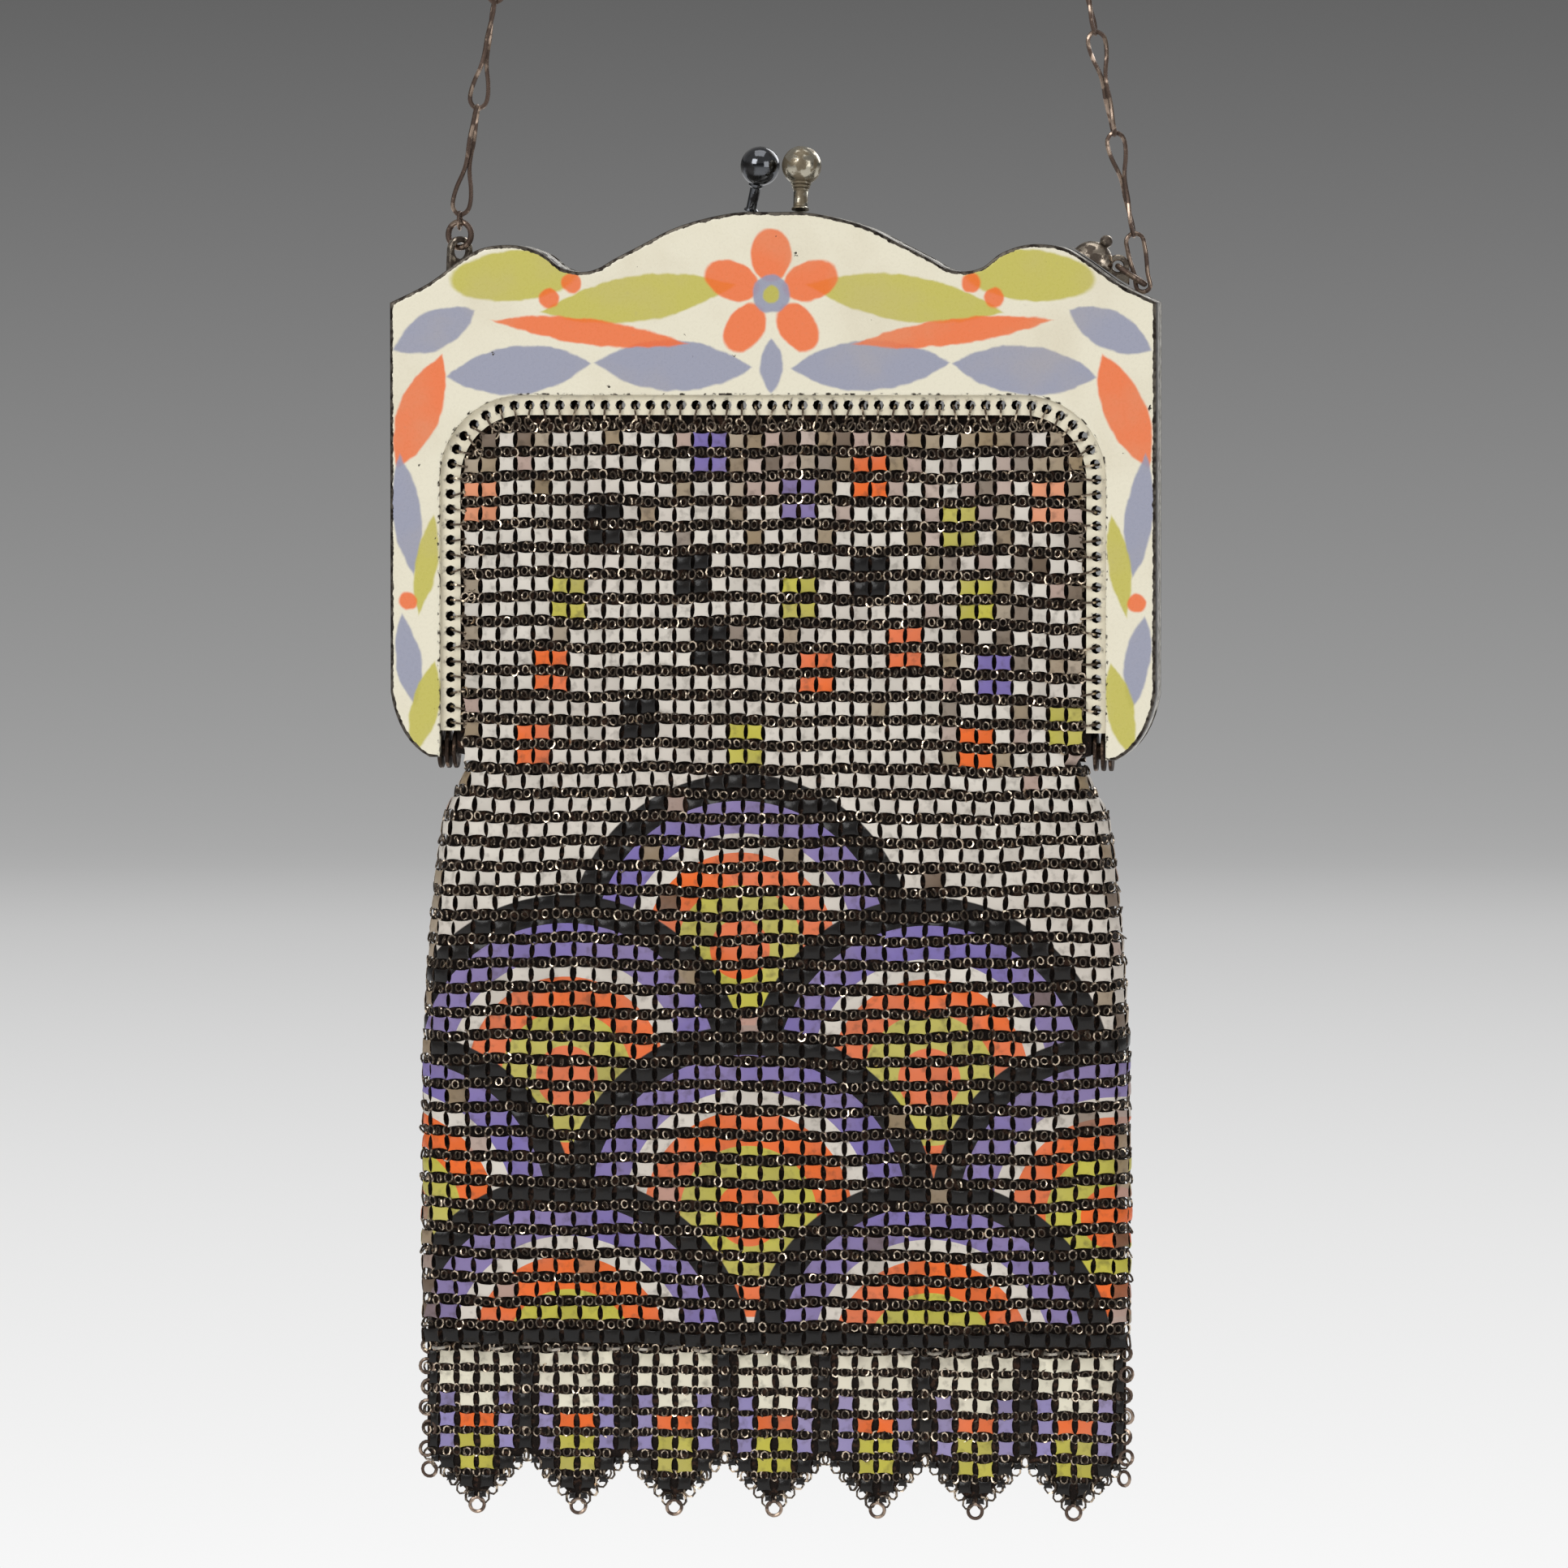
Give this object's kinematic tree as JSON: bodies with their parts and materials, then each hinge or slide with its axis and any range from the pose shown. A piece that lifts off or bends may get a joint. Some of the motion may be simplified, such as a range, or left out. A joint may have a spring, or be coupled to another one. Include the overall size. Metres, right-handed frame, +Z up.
{
  "type": "metal mesh purse",
  "caption": "Flat hanging purse of metal mesh on an enamelled hinged frame with a scalloped crest, a ball snap clasp, a wire chain and a fringe of pointed tabs.",
  "frame": {"origin": "middle of the link at the top of the chain, where the purse hangs", "axes": "+Z up along the hanging chain, +X across the purse to the viewer's right, -Y out of the front face, which the picture shows"},
  "size_m": [0.1012, 0.0122, 0.3679],
  "materials": {
    "frame_enamel": "satin enamel with worn metal edges",
    "rail_metal": "worn enamel on a thin metal strip",
    "hinge_metal": "darkened metal with bright rubbed ribs",
    "dark_clasp_metal": "polished gunmetal",
    "pale_clasp_metal": "tarnished silver",
    "ring_metal": "tarnished silver",
    "chain_metal": "brownish worn wire",
    "enamelled_mesh": "small enamelled plates on linked rings, satin and worn",
    "enamelled_fringe": "small enamelled plates on linked rings, satin and worn"
  },
  "bodies": {
    "root": {"frame_front": "frame_enamel", "frame_back": "frame_enamel", "rail_front": "rail_metal", "rail_back": "rail_metal", "hinge_left": "hinge_metal", "hinge_right": "hinge_metal", "clasp_ball_left": "dark_clasp_metal", "clasp_ball_right": "pale_clasp_metal", "ear_left": "pale_clasp_metal", "ear_right": "pale_clasp_metal", "ring_left": "ring_metal", "ring_right": "ring_metal", "chain_left": "chain_metal", "chain_right": "chain_metal", "mesh_bag": "enamelled_mesh", "fringe": "enamelled_fringe"}
  },
  "joints": []
}
